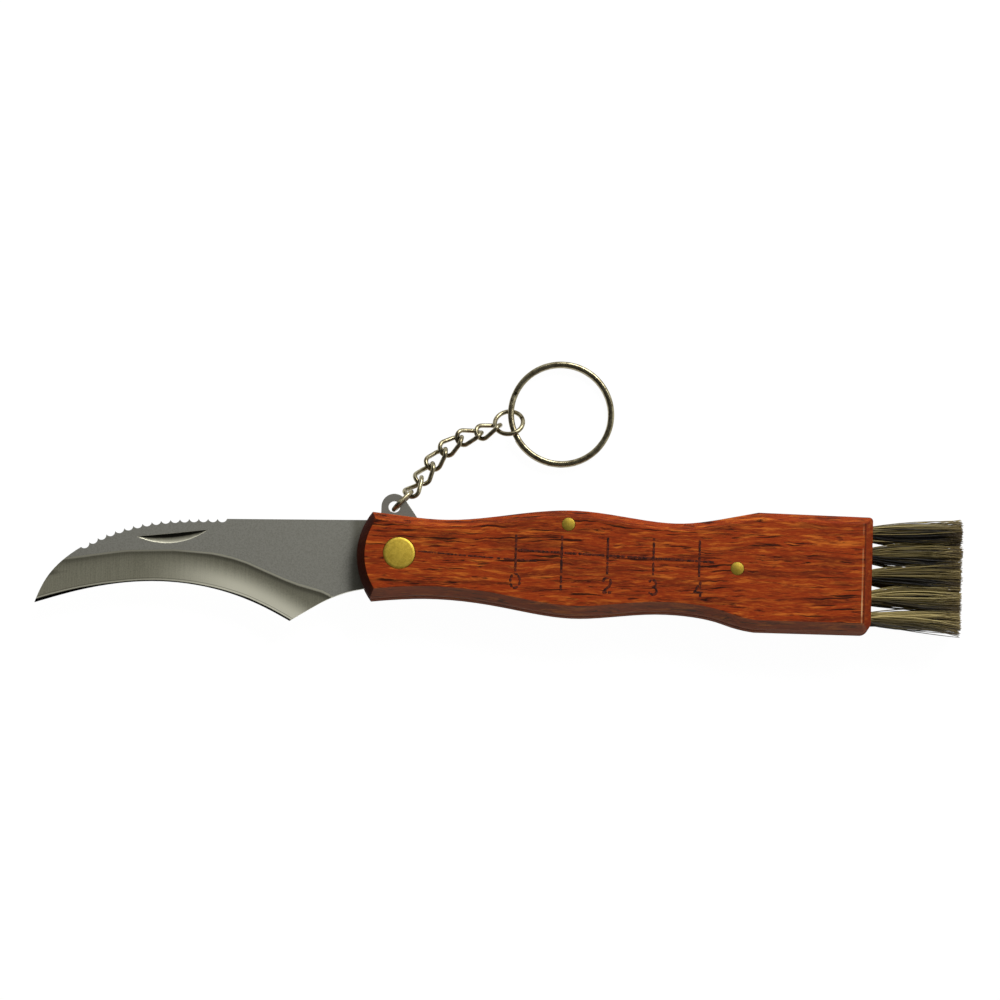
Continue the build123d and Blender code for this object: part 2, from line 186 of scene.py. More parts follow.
class Recipe(Graph):
    # a Geometry Nodes tree with named inputs
    def __init__(self, name, inputs):
        super().__init__(bpy.data.node_groups.new(name, "GeometryNodeTree"))
        plugs = self.tree.interface
        plugs.new_socket("Geometry", in_out="OUTPUT", socket_type="NodeSocketGeometry")
        plugs.new_socket("Geometry", in_out="INPUT", socket_type="NodeSocketGeometry")
        kinds = {float: "NodeSocketFloat", int: "NodeSocketInt"}
        for label, value in inputs.items():
            plug = plugs.new_socket(label, in_out="INPUT", socket_type=kinds[type(value)])
            plug.default_value = value
        entry = self.tree.nodes.new("NodeGroupInput")
        self.given = {label: Wire(self, entry.outputs[label]) for label in ("Geometry", *inputs)}

    def finish(self, geometry, material):
        real = self.node("GeometryNodeRealizeInstances", None, {"Geometry": geometry})
        smooth = self.node("GeometryNodeSetShadeSmooth", None, {"Geometry": real})
        coated = self.node("GeometryNodeSetMaterial", None, {"Geometry": smooth, "Material": material})
        self.node("NodeGroupOutput", None, {"Geometry": coated})

    def make(self, name, values, source=None):
        # runs the tree and keeps its result as a plain mesh
        carrier = bpy.data.objects.new(name + "Carrier", source or bpy.data.meshes.new(name + "Carrier"))
        bpy.context.scene.collection.objects.link(carrier)
        modifier = carrier.modifiers.new("recipe", "NODES")
        modifier.node_group = self.tree
        for item in self.tree.interface.items_tree:
            if item.in_out == "INPUT" and item.name in values:
                modifier[item.identifier] = values[item.name]
        mesh = takeMesh(carrier)
        bpy.data.objects.remove(carrier)
        return newPiece(name, mesh)


def colour(red, green, blue):
    # a screen colour, 0 to 255, as the shader's linear one
    shares = [value / 255 for value in (red, green, blue)]
    linear = [share / 12.92 if share < 0.04045 else ((share + 0.055) / 1.055) ** 2.4 for share in shares]
    return (*linear, 1.0)


def takeMesh(source):
    # the evaluated object as a mesh of its own
    bpy.context.view_layer.update()
    graph = bpy.context.evaluated_depsgraph_get()
    result = source.evaluated_get(graph)
    return bpy.data.meshes.new_from_object(result, preserve_all_data_layers=True, depsgraph=graph)


def newPiece(name, mesh, material=None):
    mesh.name = name
    piece = bpy.data.objects.new(name, mesh)
    bpy.context.scene.collection.objects.link(piece)
    if material:
        mesh.materials.clear()
        mesh.materials.append(material)
    return piece


def settle(piece, body, slot, *replaced):
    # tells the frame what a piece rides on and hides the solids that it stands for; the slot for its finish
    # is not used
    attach(piece, body)
    if replaced:
        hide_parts(*replaced)


solidCopy = {"joinWithin": 0.002, "flatWithin": 0.5, "bevelSegments": 2, "shadeOver": 10.0}


def copySolid(node, name, material, bevel=0.0, sharp=30.0):
    # a copy of a solid with joined faces, edges over the sharp angle softened, and smooth shading
    mesh = nodes[node].data.copy()
    work = bmesh.new()
    work.from_mesh(mesh)
    bmesh.ops.remove_doubles(work, verts=work.verts, dist=solidCopy["joinWithin"] * mm)
    flat = math.radians(solidCopy["flatWithin"])
    bmesh.ops.dissolve_limit(work, angle_limit=flat, verts=work.verts, edges=work.edges)
    if bevel:
        crisp = [edge for edge in work.edges
                 if edge.is_manifold and edge.calc_face_angle() > math.radians(sharp)]
        bmesh.ops.bevel(work, geom=crisp, offset=bevel * mm, segments=solidCopy["bevelSegments"],
                        profile=0.5, affect="EDGES", clamp_overlap=True)
    for face in work.faces:
        face.smooth = True
        face.material_index = 0
    work.to_mesh(mesh)
    work.free()
    piece = newPiece(name, mesh, material)
    mesh.set_sharp_from_angle(angle=math.radians(sharp + solidCopy["shadeOver"]))
    return piece


# Finishes

woodLook = {
    "red": colour(154, 56, 18),
    "orange": colour(208, 110, 38),
    "brown": colour(104, 36, 14),
    "poreAndShade": colour(36, 12, 6),
    "seam": colour(226, 176, 122),
    "side": colour(150, 121, 102),
    "wander": 1.3,
    "wiggle": 0.9,
    "poreShare": 0.92,
    "endShare": 0.65,
    "frontShare": 0.84,
    "sideShare": 0.42,
    "faceTop": 14.2,
    "rearEdge": 101.3,
    "seamShare": 0.75,
    "lineShare": 0.6,
    "roughness": 0.5,
    "poreRoughness": 0.15,
    "sideRoughness": 0.35,
    "gleam": 0.08,
}


def makeWood():
    # the grain runs along x and wanders, and every pattern of it reads the same bent place
    wood = Finish("oiledWood")
    look = woodLook
    drift = wood.noise(0.035, 0.06, 0.06) - 0.5
    wiggle = wood.noise(0.22, 0.30, 0.30) - 0.5
    side = wood.y + drift * (look["wander"] * 2) + wiggle * look["wiggle"]
    bent = wood.vector(wood.x, side, wood.z + drift * look["wander"])
    bands = wood.noise(0.012, 0.28, 0.25, 3.0, 0.55, bent).rise(0.38, 0.62)
    bright = wood.noise(0.13, 1.05, 0.9, 4.0, 0.66, bent).rise(0.49, 0.64)
    shade = wood.noise(0.08, 0.85, 0.8, 3.0, 0.62, bent).fall(0.38, 0.54)
    patches = wood.noise(0.05, 0.22, 0.2, 1.0, 0.5, bent).rise(0.35, 0.60)
    pores = wood.noise(0.20, 2.0, 2.0, 3.0, 0.66, bent).rise(0.57, 0.66) * (0.45 + patches * 0.55)
    longPores = wood.noise(0.07, 1.5, 1.5, 2.0, 0.6, bent).rise(0.60, 0.67)
    fibres = wood.noise(0.5, 6.0, 6.0, 3.0, 0.65, bent)
    endGrain = abs(wood.facing[0]).rise(0.30, 0.60)
    inside = 1 - endGrain
    frontEnd = wood.facing[0].fall(-0.60, -0.30)
    level = abs(wood.facing[2])
    upright = level.fall(0.2, 0.5)
    lowerSlope = level.fall(0.80, 0.93) * wood.facing[1].fall(-0.5, -0.2)

    base = wood.blend(bright * (0.35 + bands * 0.65), look["red"], look["orange"])
    base = wood.blend(shade * (0.95 - bands * 0.45), base, look["brown"])
    base = wood.blend(fibres.rise(0.5, 0.72) * 0.45, base, look["orange"])
    base = wood.blend(fibres.fall(0.28, 0.5) * 0.55, base, look["brown"])
    base = wood.blend(pores.most(longPores) * inside * look["poreShare"], base, look["poreAndShade"])
    base = wood.blend(endGrain * look["endShare"], base, look["brown"])
    # painted shade: faces turned towards the blade are darkened nearly to the pore colour
    base = wood.blend(frontEnd * look["frontShare"], base, look["poreAndShade"])
    # painted sheen: the lower slope and the upright sides are blended towards grey, as a pale table's
    # reflection makes them look
    base = wood.blend(lowerSlope.most(upright) * inside * look["sideShare"], base, look["side"])

    # a painted highlight as a pale line, strongest on the lower part, and painted shade as a dark line
    # beside it, along the face's rear edge
    edge = look["rearEdge"]
    onFace = wood.z.rise(look["faceTop"], look["faceTop"] + 0.2)
    wearAndHighlight = wood.x.rise(-0.50, -0.40, edge) * wood.x.fall(-0.22, -0.10, edge) * onFace
    wearAndHighlight = wearAndHighlight * wood.noise(0.1, 0.35, 0.3).rise(0.36, 0.62) * (0.35 + wood.y.fall(-8, -4) * 0.65)
    line = wood.x.rise(-0.10, 0.05, edge) * wood.x.fall(0.25, 0.50, edge) * onFace
    base = wood.blend(wearAndHighlight * look["seamShare"], base, look["seam"])
    base = wood.blend(line * look["lineShare"], base, look["poreAndShade"])

    height = fibres * 0.25 - pores
    return wood.close({
        "Base Color": base,
        "Roughness": look["roughness"] + pores * look["poreRoughness"] + upright * look["sideRoughness"],
        "Specular IOR Level": look["gleam"],
        "Normal": wood.bump(height, 0.30, 0.08),
    })


burnLook = {"char": colour(40, 12, 6), "singed": colour(96, 34, 12), "roughness": 0.7, "gleam": 0.2}


def makeBurn():
    burn = Finish("burntWood")
    look = burnLook
    char = burn.noise(1.6, 1.6, 1.6, 2.0)
    base = burn.blend(char.rise(0.35, 0.62), look["char"], look["singed"])
    return burn.close({
        "Base Color": base,
        "Roughness": look["roughness"],
        "Specular IOR Level": look["gleam"],
    })


steelLook = {
    "flat": colour(190, 189, 178),
    "ground": colour(194, 191, 166),
    "shaded": colour(112, 109, 92),
    "light": colour(255, 252, 228),
    "dark": colour(14, 12, 9),
    "halfThickness": 0.7,
    "middle": 7.25,
    "landDepth": 0.566,
    "nickBottom": 1.2,
    "nickMiddle": -49.7,
    "nickHalf": 7.8,
    "nickDepth": 0.5,
    "tangStart": -11.4,
    "gritShare": 0.38,
    "lineShare": 0.20,
    "borderShade": 0.42,
    "landShare": 0.60,
    "heelShare": 0.95,
    "heelLightDiffuse": 0.4,
    "tangShare": 0.55,
    "roughness": 0.36,
    "edgeLow": -16,
    "edgeLine": ((-79.4, -12.5), (-74.37, -10.87), (-68.14, -9.11), (-61.45, -7.79), (-54.12, -7.1),
                 (-48.24, -7.21), (-42.37, -7.94), (-35.17, -9.73), (-30.31, -11.58), (-23.55, -14.95)),
}


def makeBladeSteel():
    # the depth below the blade's flat tells the grind and the nick apart, the edge's line its painted bright
    # border and dark foot
    steel = Finish("satinBladeSteel")
    look = steelLook
    depth = look["halfThickness"] - abs(steel.z - look["middle"])
    above = steel.y - steel.line(steel.x, look["edgeLine"], look["edgeLow"], 0)
    ground = depth.rise(0.004, 0.012)
    inNick = ground * steel.y.rise(0, 0.1, look["nickBottom"])
    lines = steel.noise(5.0, 0.12, 0.12, 3.0, 0.65)
    grit = steel.noise(3.2, 3.2, 3.2, 3.0, 0.7)
    heelLight = ground * above.fall(1.8, 6.6) * steel.x.rise(-58, -34) * steel.x.fall(-20, -12)

    # satin flat, and a ground face with lines across it, with painted shade under its border, a painted
    # highlight on the land along the edge and a painted highlight at the heel
    base = steel.blend(ground, look["flat"], look["ground"])
    base = steel.blend(grit.rise(0.35, 0.7) * look["gritShare"], base, look["shaded"])
    base = steel.blend(lines.rise(0.3, 0.7) * ground * look["lineShare"], base, look["light"])
    base = steel.blend(ground * depth.fall(0.03, 0.30) * look["borderShade"], base, look["shaded"])
    base = steel.blend(depth.rise(0, 0.010, look["landDepth"]) * look["landShare"], base, look["light"])
    base = steel.blend(heelLight * look["heelShare"], base, look["light"])

    # the border: a painted highlight along the shoulder with a line of painted shade below it, both stronger
    # towards the heel
    shoulder = depth.rise(0.001, 0.006) * depth.fall(0.030, 0.060)
    below = depth.rise(0.035, 0.065) * depth.fall(0.08, 0.16)
    shoulderShare = 0.50 + steel.x.rise(-54, -38) * 0.45
    base = steel.blend(below * shoulderShare * 0.45, base, look["dark"])
    base = steel.blend(shoulder * shoulderShare, base, look["light"])

    # the edge: a painted dark reflection at its foot, a painted highlight above it where it is honed, and a
    # thin line of painted shade above that
    edgeTop = 0.24 + steel.x.fall(-78, -60) * 0.45 + steel.x.rise(-48, -28) * 0.22
    honedHighlight = above.rise(0, 0.08, edgeTop) * above.fall(0.26, 0.36, edgeTop)
    seam = above.rise(0.30, 0.40, edgeTop) * above.fall(0.44, 0.60, edgeTop)
    base = steel.blend(ground * seam * 0.5, base, look["shaded"])
    base = steel.blend(ground * honedHighlight * 0.8, base, look["light"])
    base = steel.blend(ground * above.fall(-0.10, 0.06, edgeTop), base, look["dark"])

    # the nail nick: a painted highlight on its long slope and painted shade in its steep wall
    spot = (steel.x - look["nickMiddle"]) / look["nickHalf"]
    deepest = (1 - spot * spot) * look["nickDepth"]
    share = depth / deepest.most(0.03)
    base = steel.blend(inNick * share.fall(0.25, 0.60) * 0.5, base, look["light"])
    base = steel.blend(inNick * share.rise(0.50, 0.68) * 0.95, base, look["dark"])
    # painted shadow of the handle across the blade near the tang
    base = steel.blend(steel.x.rise(0, 2, look["tangStart"]) * look["tangShare"], base, look["shaded"])
    height = lines * ground * 0.5 + grit * 0.5
    return steel.close({
        "Base Color": base,
        # the painted heel highlight also takes metal away there, so that the heel reads paler
        "Metallic": 1 - heelLight * look["heelLightDiffuse"],
        "Roughness": look["roughness"] + grit * 0.10,
        "Normal": steel.bump(height, 0.12, 0.02),
    })


springLook = {"dull": colour(168, 165, 154), "bright": colour(176, 173, 162), "roughness": 0.38}


def makeSpringSteel():
    steel = Finish("springSteel")
    look = springLook
    lines = steel.noise(0.15, 5.0, 5.0, 2.0, 0.6)
    return steel.close({
        "Base Color": steel.blend(lines.rise(0.3, 0.7), look["dull"], look["bright"]),
        "Metallic": 1.0,
        "Roughness": look["roughness"],
        "Normal": steel.bump(lines, 0.10, 0.02),
    })


brassLook = {
    "bright": colour(218, 190, 78),
    "olive": colour(184, 154, 54),
    "dark": colour(120, 94, 34),
    "oliveShare": 0.7,
    "speckShare": 0.45,
    "roughness": 0.42,
}


def makeBrass(name, dullness):
    brass = Finish(name)
    look = brassLook
    spots = brass.noise(1.6, 1.6, 1.6, 3.0, 0.65)
    specks = brass.noise(4.2, 4.2, 4.2, 2.0, 0.6)
    base = brass.blend(spots.rise(0.35, 0.68) * look["oliveShare"], look["bright"], look["olive"])
    base = brass.blend(specks.rise(0.58, 0.75) * look["speckShare"], base, look["dark"])
    base = brass.blend(dullness, base, look["dark"])
    return brass.close({
        "Base Color": base,
        "Metallic": 1.0,
        "Roughness": look["roughness"] + specks * 0.2,
        "Normal": brass.bump(spots, 0.15, 0.04),
    })


nickelLook = {
    "bright": colour(164, 156, 126),
    "wearAndHighlight": colour(78, 66, 44),
    "speck": colour(30, 22, 12),
    "wornShare": 0.75,
    "speckShare": 0.25,
    "roughness": 0.16,
}


def makeChainMetal():
    nickel = Finish("wornNickel")
    look = nickelLook
    wearAndHighlight = nickel.noise(0.9, 0.9, 0.9, 3.0, 0.6)
    specks = nickel.noise(4.0, 4.0, 4.0, 2.0, 0.6)
    base = nickel.blend(wearAndHighlight.rise(0.35, 0.7) * look["wornShare"], look["bright"], look["wearAndHighlight"])
    base = nickel.blend(specks.rise(0.60, 0.72) * look["speckShare"], base, look["speck"])
    return nickel.close({
        "Base Color": base,
        "Metallic": 1.0,
        "Roughness": look["roughness"] + specks * 0.12,
        "Normal": nickel.bump(wearAndHighlight, 0.08, 0.03),
    })


bristleLook = {
    "dark": colour(16, 13, 8),
    "olive": colour(138, 122, 70),
    "pale": colour(210, 192, 128),
    "tip": colour(120, 98, 58),
    "tipShare": 0.35,
    "roughness": 0.45,
}


def makeBristle():
    # the brush's own tree gives each bristle its shade, painted a little paler on a tuft's upper side, and
    # each point its place along it
    hair = Finish("stiffBristle")
    look = bristleLook
    shade = hair.node("ShaderNodeAttribute", {"attribute_name": "shade"}, output="Fac")
    along = hair.node("ShaderNodeAttribute", {"attribute_name": "along"}, output="Fac")
    base = hair.blend(shade.rise(0.28, 0.66), look["dark"], look["olive"])
    base = hair.blend(shade.rise(0.66, 0.84), base, look["pale"])
    base = hair.blend(along.rise(0.70, 1.0) * look["tipShare"], base, look["tip"])
    return hair.close({"Base Color": base, "Roughness": look["roughness"]})


oiledWood = makeWood()
burntWood = makeBurn()
bladeSteel = makeBladeSteel()
springSteel = makeSpringSteel()
wornBrass = makeBrass("wornBrass", 0.0)
dullBrass = makeBrass("dullBrass", 0.45)
wornNickel = makeChainMetal()
stiffBristle = makeBristle()
print("finishes made")


# Handle: two scales and the filler between them, with a ruler burnt into the front one

rulerSizes = {
    "firstTick": 25.4,
    "tickStep": 10.0,
    "tickTop": 4.8,
    "tickBottom": -3.3,
    "lineStart": (25.5, 1.38),
    "lineEnd": (68.6, 0.0),
    "crack": ((4.2, 0.5), (13.0, -0.05), (25.3, -0.7), (30.0, -0.9)),
    "crackWidth": 0.7,
    "digitHeight": 3.2,
    "digitWidth": 2.2,
    "digitLevel": -5.35,
    "digitSlope": -0.018,
    "strokeRadius": 0.27,
    "strokeStep": 0.12,
    "thinnest": 0.04,
    "grainScale": 1300.0,
    "raggedScale": 4200.0,
    "ragged": 0.14,
    "flatness": 0.03,
    "faceLevel": 14.5,
}

# the digits 0 to 4 as strokes, in shares of their width and height about their middle
digitStrokes = (
    ((0, 0.5), (-0.3, 0.4), (-0.46, 0.15), (-0.46, -0.15), (-0.3, -0.4), (0, -0.5),
     (0.3, -0.4), (0.46, -0.15), (0.46, 0.15), (0.3, 0.4), (0, 0.5)),
    ((0, 0.5), (0.0, -0.5)),
    ((-0.40, 0.22), (-0.28, 0.43), (0, 0.5), (0.3, 0.42), (0.4, 0.2), (0.26, -0.05), (-0.1, -0.28),
     (-0.42, -0.5), (0.44, -0.5)),
    ((-0.40, 0.38), (-0.15, 0.5), (0.2, 0.46), (0.34, 0.26), (0.22, 0.06), (0.0, 0.02), (0.3, -0.06),
     (0.42, -0.26), (0.26, -0.46), (-0.05, -0.5), (-0.4, -0.34)),
    ((0.16, -0.5), (0.16, 0.5), (-0.44, -0.2), (0.44, -0.2)),
)


def rulerCurves():
    # five ticks with their digits, the long line and a crack in the wood, whose radius sets each width
    sizes = rulerSizes
    curve = bpy.data.curves.new("rulerLines", "CURVE")
    curve.dimensions = "3D"
    strokes = [(sizes["lineStart"], sizes["lineEnd"])]
    for number, digit in enumerate(digitStrokes):
        x = sizes["firstTick"] + number * sizes["tickStep"]
        strokes.append(((x, sizes["tickTop"]), (x, sizes["tickBottom"])))
        level = sizes["digitLevel"] + sizes["digitSlope"] * number * sizes["tickStep"]
        strokes.append([(x + u * sizes["digitWidth"], level + v * sizes["digitHeight"]) for u, v in digit])
    widths = [1.0] * len(strokes) + [sizes["crackWidth"]]
    for stroke, width in zip([*strokes, sizes["crack"]], widths):
        spline = curve.splines.new("POLY")
        spline.points.add(len(stroke) - 1)
        for point, (x, y) in zip(spline.points, stroke):
            point.co = (x * mm, y * mm, 0, 1)
            point.radius = width
    return curve


def rulerRecipe(inputs):
    # strokes that come and go with the grain
    recipe = Recipe("burntStrokes", inputs)
    given = recipe.given
    line = recipe.node("GeometryNodeResampleCurve", {"mode": "LENGTH"},
                       {"Curve": given["Geometry"], "Length": given["Step"]})
    place = recipe.node("GeometryNodeInputPosition")
    grain = recipe.node("ShaderNodeTexNoise", None,
                        {"Vector": place, "Scale": given["Grain scale"], "Detail": 2.0})
    outline = recipe.node("GeometryNodeCurvePrimitiveCircle", None,
                          {"Resolution": 8, "Radius": given["Stroke radius"]})
    width = recipe.node("GeometryNodeInputRadius") * (grain.rise(0.34, 0.50) + given["Thinnest"])
    tube = recipe.node("GeometryNodeCurveToMesh", None, {
        "Curve": line, "Profile Curve": outline, "Scale": width, "Fill Caps": True,
    })
    rough = recipe.node("ShaderNodeTexNoise", None,
                        {"Vector": place, "Scale": given["Ragged scale"], "Detail": 1.0})
    shift = (rough - 0.5) * given["Ragged"]
    moved = recipe.node("GeometryNodeSetPosition", None,
                        {"Geometry": tube, "Offset": recipe.vector(shift, shift, 0.0)})
    recipe.finish(moved, burntWood)
    return recipe


def markRuler():
    # the strokes lie on the wood as flat as char does
    sizes = rulerSizes
    inputs = {
        "Stroke radius": sizes["strokeRadius"] * mm,
        "Step": sizes["strokeStep"] * mm,
        "Thinnest": sizes["thinnest"],
        "Grain scale": sizes["grainScale"],
        "Ragged scale": sizes["raggedScale"],
        "Ragged": sizes["ragged"] * mm,
    }
    marks = rulerRecipe(inputs).make("rulerMarks", inputs, rulerCurves())
    onFace = Matrix.Translation((0, 0, sizes["faceLevel"] * mm))
    marks.data.transform(onFace @ Matrix.Diagonal((1, 1, sizes["flatness"], 1)))
    settle(marks, "handle", "wood")


def squareShading(piece):
    # cuts faces with many corners into triangles, and shades those that look along an axis flat
    work = bmesh.new()
    work.from_mesh(piece.data)
    bmesh.ops.triangulate(work, faces=[face for face in work.faces if len(face.verts) > 4])
    for face in work.faces:
        face.smooth = max(abs(part) for part in face.normal) < 0.9999
    work.to_mesh(piece.data)
    work.free()


handleSizes = {"softEdge": 0.16, "spacerEdge": 0.05}

frontScale = copySolid("front_scale", "frontScaleWood", oiledWood, handleSizes["softEdge"])
markRuler()
backScale = copySolid("back_scale", "backScaleWood", oiledWood, handleSizes["softEdge"])
spacer = copySolid("brush_spacer", "brushSpacerWood", oiledWood, handleSizes["spacerEdge"])
for piece, node in ((frontScale, "front_scale"), (backScale, "back_scale"), (spacer, "brush_spacer")):
    squareShading(piece)
    settle(piece, "handle", "wood", node)
print("handle made:", len(frontScale.data.polygons), "faces on the front scale")


# Metalwork: blade, backspring, rivet, pins and washers

grindShading = {"facing": 0.95, "minDepth": 0.45, "reachAlong": 8.0, "reachDeep": 0.08}


def depthOf(place):
    # millimetres below the blade's nearer flat
    return steelLook["halfThickness"] - abs(place.z / mm - steelLook["middle"])


def meanFacing(place, facts):
    # the mean normal around a place, in which faces far along the blade or at another depth weigh less
    sizes = grindShading
    total = Vector()
    for x, depth, facing in facts:
        gap = ((x - place.x / mm) / sizes["reachAlong"]) ** 2
        gap += ((depth - depthOf(place)) / sizes["reachDeep"]) ** 2
        total += facing * math.exp(-gap)
    return total.normalized()


def evenGrind(piece):
    # long thin triangles show as fans in the grind, so its corners near the edge take mean normals
    mesh = piece.data
    normals = [corner.vector.copy() for corner in mesh.corner_normals]
    for sign in (1, -1):
        ground = [face for face in mesh.polygons
                  if face.use_smooth and face.normal.z * sign > grindShading["facing"]
                  and face.center.y / mm < steelLook["nickBottom"]]
        facts = [(face.center.x / mm, depthOf(face.center), face.normal * face.area) for face in ground]
        means = {}
        for loop in (loop for face in ground for loop in face.loop_indices):
            vertex = mesh.loops[loop].vertex_index
            place = mesh.vertices[vertex].co
            if depthOf(place) >= grindShading["minDepth"]:
                if vertex not in means:
                    means[vertex] = meanFacing(place, facts)
                normals[loop] = means[vertex]
    mesh.normals_split_custom_set(normals)


plateSizes = {"bladeSharp": 22.0, "springEdge": 0.06}

blade = copySolid("blade", "hawkbillBlade", bladeSteel, 0.0, plateSizes["bladeSharp"])
squareShading(blade)
evenGrind(blade)
settle(blade, "blade", "blade_steel", "blade")

backspring = copySolid("backspring", "backspringPlate", springSteel, plateSizes["springEdge"])
squareShading(backspring)
settle(backspring, "handle", "spring_steel", "backspring")


def turnPiece(name, profile, centre, material, steps=64):
    # a solid of revolution about an upright axis from (radius, level) points in millimetres
    work = bmesh.new()
    rings = []
    turns = [2 * math.pi * step / steps for step in range(steps)]
    for radius, level in profile:
        spots = [(radius * mm * math.cos(turn), radius * mm * math.sin(turn)) for turn in turns]
        if radius == 0:
            spots = [(0, 0)]
        rings.append([work.verts.new((x, y, level * mm)) for x, y in spots])
    for low, high in zip(rings, rings[1:]):
        for step in range(steps):
            corners = [ring[at % len(ring)] for ring, at in (
                (low, step), (low, (step + 1) % steps), (high, (step + 1) % steps), (high, step))]
            work.faces.new(list(dict.fromkeys(corners)))
    bmesh.ops.recalc_face_normals(work, faces=work.faces)
    for face in work.faces:
        face.smooth = True
    mesh = bpy.data.meshes.new(name)
    work.to_mesh(mesh)
    work.free()
    mesh.transform(Matrix.Translation((centre[0] * mm, centre[1] * mm, 0)))
    piece = newPiece(name, mesh, material)
    mesh.set_sharp_from_angle(angle=math.radians(50))
    return piece


rivetSizes = {"headRadius": 3.53, "shankRadius": 2.0, "headHeight": 1.3, "dome": 0.15, "edge": 0.22}
pinSizes = {"radius": 1.45, "edge": 0.10, "midPlace": (36.7, 7.36), "rearPlace": (73.7, -1.24)}
thickness = 14.5
roundShare = 0.3


def rivetProfile():
    # a wide head at each end, the lower one flat and the upper one peened to a low dome
    head, shank, deep = rivetSizes["headRadius"], rivetSizes["shankRadius"], rivetSizes["headHeight"]
    edge, dome = rivetSizes["edge"], rivetSizes["dome"]
    soft = edge * roundShare
    profile = [(0, 0.0), (head - edge, 0.0), (head - soft, soft), (head, edge), (head, deep), (shank, deep)]
    profile += [(shank, thickness - deep), (head, thickness - deep), (head, thickness - edge)]
    profile += [(head - soft, thickness - soft), (head - edge, thickness + dome * 0.2)]
    for share in (0.8, 0.6, 0.4, 0.2):
        profile.append((head * share, thickness + dome * (1 - share**2)))
    profile.append((0, thickness + dome))
    return profile


def pinProfile():
    radius, edge = pinSizes["radius"], pinSizes["edge"]
    soft = edge * roundShare
    low = [(0, 0), (radius - edge, 0), (radius - soft, soft), (radius, edge)]
    return low + [(reach, thickness - level) for reach, level in reversed(low)]


rivet = turnPiece("pivotRivet", rivetProfile(), (0, 0), wornBrass)
settle(rivet, "handle", "brass", "pivot_rivet")
for name, place, node in (("midPin", "midPlace", "mid_pin"), ("rearPin", "rearPlace", "rear_pin")):
    pin = turnPiece(name, pinProfile(), pinSizes[place], dullBrass, 40)
    settle(pin, "handle", "brass", node)
for node in ("washer_front", "washer_back"):
    nodes[node].data.materials.clear()
    nodes[node].data.materials.append(wornBrass)
print("metalwork made")


# Chain, jump ring and split ring

chainSizes = {
    "wire": 1.0,
    "length": 6.6,
    "width": 4.5,
    "gap": 0.15,
    "twist": -45.0,
    "start": (-1.5, 10.19, 7.74),
    "headings": (47, 56, 59, 51, 39, 17, 23),
    "dips": (13, 28, 22, 7, -1, -1, 0),
    "rolls": (89, -58, -36, -32, -30, -35, -47),
    "butt": 0.004,
    "jumpDiameter": 7.2,
    "jumpButt": 0.011,
    "jumpTurn": (19, 4, -31),
}


def linkInputs(length, width, twist, butt):
    return {
        "Wire": chainSizes["wire"] * mm,
        "Length": length * mm,
        "Width": width * mm,
        "Twist": math.radians(twist),
        "Joint": butt,
        "Steps": 72,
        "Sides": 16,
    }


def wireLinkRecipe(inputs):
    # an oval of round wire whose ends may be turned apart, with its butt joint at one end
    recipe = Recipe("wireLink", inputs)
    given = recipe.given
    bend = (given["Width"] - given["Wire"]) / 2
    straight = (given["Length"] - given["Width"]) / 2
    half = (given["Length"] - given["Wire"]) / 2
    number = recipe.node("GeometryNodeInputIndex")
    share = number / (given["Steps"] - 1)
    angle = (given["Joint"] / 2 + share * (1 - given["Joint"])) * (2 * math.pi)
    dots = recipe.node("GeometryNodePoints", None, {"Count": given["Steps"]})
    x = angle.cos() * bend + angle.cos().sign() * straight
    across = angle.sin() * bend
    lean = given["Twist"] * x / half
    spot = recipe.vector(x, across * lean.cos(), across * lean.sin())
    placed = recipe.node("GeometryNodeSetPosition", None, {"Geometry": dots, "Position": spot})
    path = recipe.node("GeometryNodePointsToCurves", None, {"Points": placed})
    section = recipe.node("GeometryNodeCurvePrimitiveCircle", None,
                          {"Resolution": given["Sides"], "Radius": given["Wire"] / 2})
    wire = recipe.node("GeometryNodeCurveToMesh", None,
                       {"Curve": path, "Profile Curve": section, "Fill Caps": True})
    recipe.finish(wire, wornNickel)
    return recipe


def chainFrames():
    # each link hangs from the last one's end, a wire and a gap back along their common direction
    sizes = chainSizes
    half = (sizes["length"] - sizes["wire"]) / 2
    turns = list(zip(sizes["headings"], sizes["dips"], sizes["rolls"])) + [sizes["jumpTurn"]]
    reaches = [half] * len(sizes["headings"]) + [(sizes["jumpDiameter"] - sizes["wire"]) / 2]
    frames = []
    end = None
    last = None
    for (heading, dip, roll), reach in zip(turns, reaches):
        turned = Matrix.Rotation(math.radians(heading), 4, "Z") @ Matrix.Rotation(math.radians(dip), 4, "Y")
        turned = turned @ Matrix.Rotation(math.radians(roll), 4, "X")
        along = turned.to_3x3() @ Vector((1, 0, 0))
        if end is None:
            start = Vector(sizes["start"])
        else:
            start = end - (along + last).normalized() * (sizes["wire"] + sizes["gap"])
        frames.append(Matrix.Translation((start + along * reach) * mm) @ turned)
        end = start + along * (2 * reach)
        last = along
    return frames


flatLink = linkInputs(chainSizes["length"], chainSizes["width"], 0.0, chainSizes["butt"])
twistedLink = linkInputs(chainSizes["length"], chainSizes["width"], chainSizes["twist"], chainSizes["butt"])
roundLink = linkInputs(chainSizes["jumpDiameter"], chainSizes["jumpDiameter"], 0.0, chainSizes["jumpButt"])
linkRecipe = wireLinkRecipe(flatLink)
frames = chainFrames()
for number, place in enumerate(frames[:-1]):
    link = linkRecipe.make(f"chainLink{number + 1}", twistedLink if number else flatLink)
    link.data.transform(place)
    settle(link, f"link_{number + 1}", "chain_metal", f"chain_link_{number + 1}")
jumpRing = linkRecipe.make("jumpRingWire", roundLink)
jumpRing.data.transform(frames[-1])
settle(jumpRing, "jump_ring", "chain_metal", "jump_ring")

ringSizes = {
    "diameter": 23.4,
    "wireWidth": 1.35,
    "wireHeight": 1.0,
    "wireGap": 0.05,
    "rounding": 0.46,
    "nearLift": 1.22,
    "heading": 11.1,
    "offset": 0.55,
    "climbStart": 156.0,
    "climbEnd": 212.0,
}


